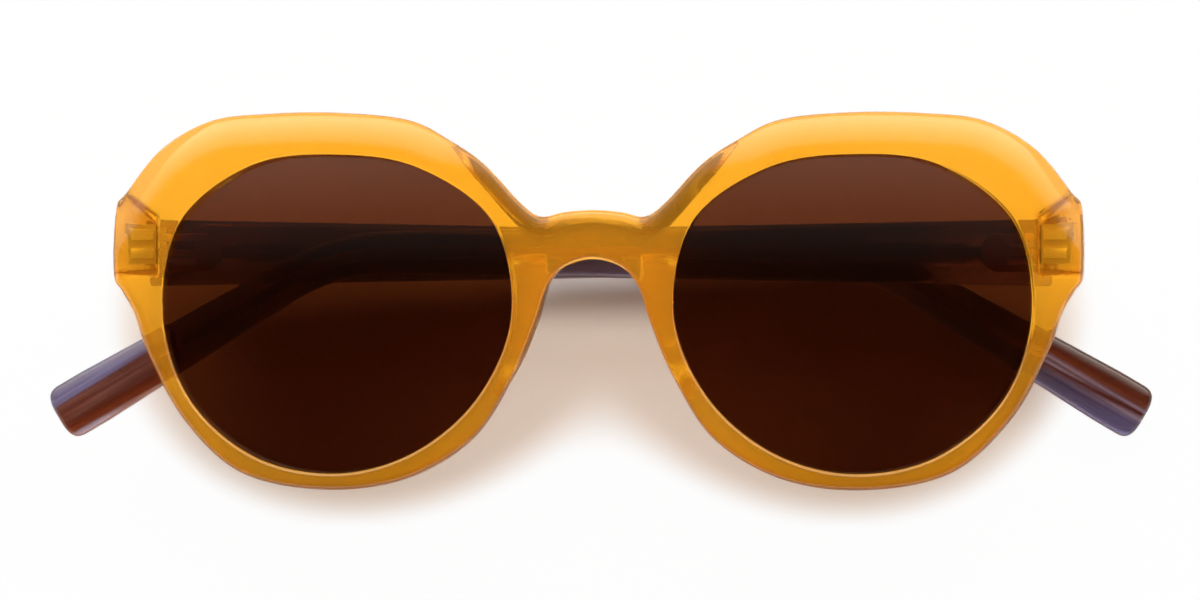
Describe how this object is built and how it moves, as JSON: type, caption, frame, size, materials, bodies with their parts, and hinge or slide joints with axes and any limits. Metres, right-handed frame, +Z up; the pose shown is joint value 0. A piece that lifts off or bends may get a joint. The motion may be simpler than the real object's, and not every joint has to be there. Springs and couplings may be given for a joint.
{
  "type": "folding sunglasses",
  "caption": "Full-rim translucent acetate sunglasses with rounded tinted lenses, glued nose pads and wire-cored temples that fold on barrel hinges.",
  "frame": {"origin": "top of the nose arch, on the back face of the bridge", "axes": "+X to the viewer's right, +Y from the front towards the wearer, +Z up as worn"},
  "size_m": [0.1541, 0.0272, 0.0526],
  "materials": {
    "front_acetate": "polished translucent honey acetate",
    "lens": "clear brown tint, glossy",
    "temple_acetate": "polished transparent streaked acetate",
    "hinge_metal": "fine satin",
    "wire_metal": "satin"
  },
  "bodies": {
    "front": {"front_frame": "front_acetate", "lens_right": "lens", "lens_left": "lens", "nose_pad_right": "front_acetate", "nose_pad_left": "front_acetate", "front_hinge_right": "hinge_metal", "front_hinge_left": "hinge_metal", "hinge_screw_right": "hinge_metal", "hinge_screw_left": "hinge_metal"},
    "temple_left": {"temple_left": "temple_acetate", "temple_hinge_left": "hinge_metal", "core_wire_left": "wire_metal"},
    "temple_right": {"temple_right": "temple_acetate", "temple_hinge_right": "hinge_metal", "core_wire_right": "wire_metal"}
  },
  "joints": [
    {"name": "left_temple_fold", "type": "hinge", "parent": "front", "child": "temple_left", "pos_m": [-0.0618, 0.00992, 0.0009], "axis": [0, 0, 1], "range_deg": [0, 86.5]},
    {"name": "right_temple_fold", "type": "hinge", "parent": "front", "child": "temple_right", "pos_m": [0.0618, 0.00992, 0.0009], "axis": [0, 0, -1], "range_deg": [0, 0.3]}
  ]
}
